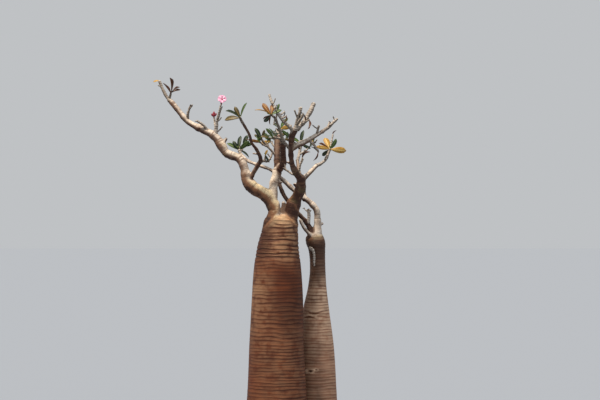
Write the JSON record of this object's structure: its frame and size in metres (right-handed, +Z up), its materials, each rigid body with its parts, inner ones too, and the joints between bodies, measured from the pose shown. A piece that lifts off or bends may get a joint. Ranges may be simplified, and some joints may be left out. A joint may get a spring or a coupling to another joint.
{
  "type": "bottle tree",
  "caption": "Succulent tree with a swollen, ringed bottle trunk, a slimmer stem joined at its foot, and an open crown of thick pale boughs with sparse leaf rosettes and a bloom.",
  "frame": {"origin": "middle of the main stem's flat foot, at ground level, at the ground mount", "axes": "+Z up, +X to the right and +Y to the back as the tree is first seen"},
  "size_m": [1.2222, 0.7922, 2.1853],
  "materials": {
    "stem_bark": "satin, finely ringed",
    "bough_bark": "smooth, satin",
    "bare_twigs": "matt",
    "leafy_twigs": "waxy",
    "flowering_twigs": "soft"
  },
  "bodies": {
    "root": {"back_leaves": "leafy_twigs", "back_limb": "bough_bark", "back_right_leaves": "leafy_twigs", "back_right_limb": "bough_bark", "crossing_limb": "bough_bark", "cut_limb": "bough_bark", "cut_limb_leaves": "leafy_twigs", "far_left_tip": "leafy_twigs", "far_left_twig": "bare_twigs", "flower_twigs": "flowering_twigs", "fork_knob": "bough_bark", "fork_twigs": "bare_twigs", "front_fork": "bough_bark", "front_leaves": "leafy_twigs", "front_limb": "bough_bark", "hooked_twig": "bare_twigs", "inner_leaves": "leafy_twigs", "inner_limb": "bough_bark", "inner_limb_upper": "bough_bark", "inner_side_twigs": "leafy_twigs", "left_bough": "bough_bark", "left_bough_middle": "bough_bark", "left_bough_outer": "bough_bark", "left_leaves": "leafy_twigs", "left_reach": "bough_bark", "left_stub": "bare_twigs", "low_pale_twig": "bare_twigs", "low_stub": "bough_bark", "lower_right_limb": "bough_bark", "lower_side_twig": "leafy_twigs", "main_stem": "stem_bark", "middle_bough": "bough_bark", "middle_leaves": "leafy_twigs", "right_bough": "bough_bark", "right_bough_upper": "bough_bark", "right_hanging_twig": "leafy_twigs", "right_leaves": "leafy_twigs", "right_spread": "bough_bark", "right_tip": "bare_twigs", "right_upright_twig": "bare_twigs", "ringed_twig": "leafy_twigs", "second_bough": "bough_bark", "second_stem": "stem_bark", "top_arc": "leafy_twigs", "top_front_leaves": "leafy_twigs", "upper_twigs": "leafy_twigs"}
  },
  "joints": []
}
